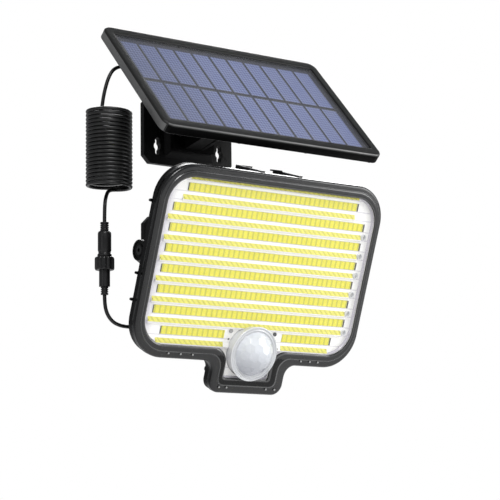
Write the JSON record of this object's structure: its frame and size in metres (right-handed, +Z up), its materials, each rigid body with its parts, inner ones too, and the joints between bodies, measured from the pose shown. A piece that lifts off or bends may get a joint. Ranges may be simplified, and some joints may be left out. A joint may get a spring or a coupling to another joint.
{
  "type": "solar flood light",
  "caption": "Wall-mounted motion-sensing flood light on a tilting yoke, fed by a tilting solar panel above it through a coiled lead with a screw-locked plug.",
  "frame": {"origin": "centre of the lamp bracket's rear face, on the wall", "axes": "+Y into the wall, +Z up, +X to the right of someone facing the light"},
  "size_m": [0.2345, 0.1276, 0.28],
  "materials": {
    "wall_mount_paint": "satin black powder coat",
    "zinc_steel": "bright zinc plate",
    "black_screw": "black oxide",
    "bezel_black": "satin-gloss black moulding",
    "housing_black": "fine-textured black moulding",
    "seal_rubber": "soft silicone",
    "lens_clear": "clear polycarbonate",
    "reflector_white": "glossy white moulding",
    "led_phosphor": "cast yellow phosphor",
    "board": "solder mask",
    "ring_grey": "light grey moulding",
    "dome_milky": "milky faceted moulding",
    "sensor_can": "drawn can",
    "sensor_dark": "dark clear resin",
    "cell_wrap": "shrink-wrapped lithium cell",
    "inner_black": "plain moulding",
    "contact_metal": "bright plated",
    "button_rubber": "soft-touch",
    "panel_black": "satin dark grey-black moulding",
    "panel_glass": "clear tempered glass",
    "cell_blue": "blue-violet silicon under glass",
    "backsheet_white": "dark laminate sheet",
    "cord_black": "satin black jacket",
    "plug_black": "moulded black"
  },
  "bodies": {
    "wall_mount": {"lamp_wall_plate": "wall_mount_paint", "panel_wall_plate": "wall_mount_paint", "lamp_yoke": "wall_mount_paint", "lamp_yoke_bolts": "black_screw", "lamp_yoke_nuts": "zinc_steel", "lamp_pivot_bolts": "black_screw", "lamp_pivot_nuts": "zinc_steel", "lamp_pivot_spacers": "inner_black", "panel_arm": "wall_mount_paint", "panel_arm_bolts": "black_screw", "panel_arm_nuts": "zinc_steel", "panel_pivot_bolt": "black_screw", "panel_pivot_nut": "zinc_steel", "cord_coil": "cord_black", "panel_lead": "cord_black", "plug_lead": "cord_black", "lamp_lead": "cord_black", "socket_relief": "plug_black", "socket_body": "plug_black", "plug_body": "plug_black", "plug_relief": "plug_black", "plug_pins": "contact_metal", "plug_seal": "seal_rubber"},
    "lamp_head": {"rear_housing": "housing_black", "front_bezel": "bezel_black", "housing_seal": "seal_rubber", "front_lens": "lens_clear", "reflector_tray": "reflector_white", "led_strips": "led_phosphor", "led_board": "board", "reflector_screws": "zinc_steel", "light_sensor": "sensor_dark", "remote_receiver": "sensor_dark", "sensor_ring": "ring_grey", "sensor_dome": "dome_milky", "sensor_board": "board", "pir_sensor": "sensor_can", "control_board": "board", "battery_cells": "cell_wrap", "battery_holder": "inner_black", "battery_contacts": "contact_metal", "housing_screws": "black_screw", "power_switch": "inner_black", "lamp_cable_gland": "plug_black"},
    "push_button": {"power_button": "button_rubber"},
    "solar_panel": {"panel_frame": "panel_black", "panel_glass": "panel_glass", "solar_cells": "cell_blue", "cell_backsheet": "backsheet_white", "panel_back_cover": "panel_black", "panel_screws": "black_screw", "junction_box": "panel_black", "charge_board": "board", "panel_cable_gland": "plug_black"},
    "lock_nut": {"coupling_nut": "plug_black"}
  },
  "joints": [
    {"name": "lamp_tilt", "type": "hinge", "parent": "wall_mount", "child": "lamp_head", "pos_m": [0, -0.04241, -0.00805], "axis": [-1, 0, 0], "range_deg": [-30, 20], "deforming": ["lamp_lead"]},
    {"name": "panel_tilt", "type": "hinge", "parent": "wall_mount", "child": "solar_panel", "pos_m": [0, -0.06361, 0.10159], "axis": [-1, 0, 0], "range_deg": [-8, 25], "deforming": ["panel_lead"]},
    {"name": "button_press", "type": "slide", "parent": "lamp_head", "child": "push_button", "axis": [0, -0.9379, -0.3469], "range_m": [0, 0.0012], "stiffness_N_per_m": 300},
    {"name": "lock_nut_turn", "type": "hinge", "parent": "wall_mount", "child": "lock_nut", "pos_m": [-0.1158, -0.06, -0.024], "axis": [0, 0, 1], "continuous": true}
  ]
}
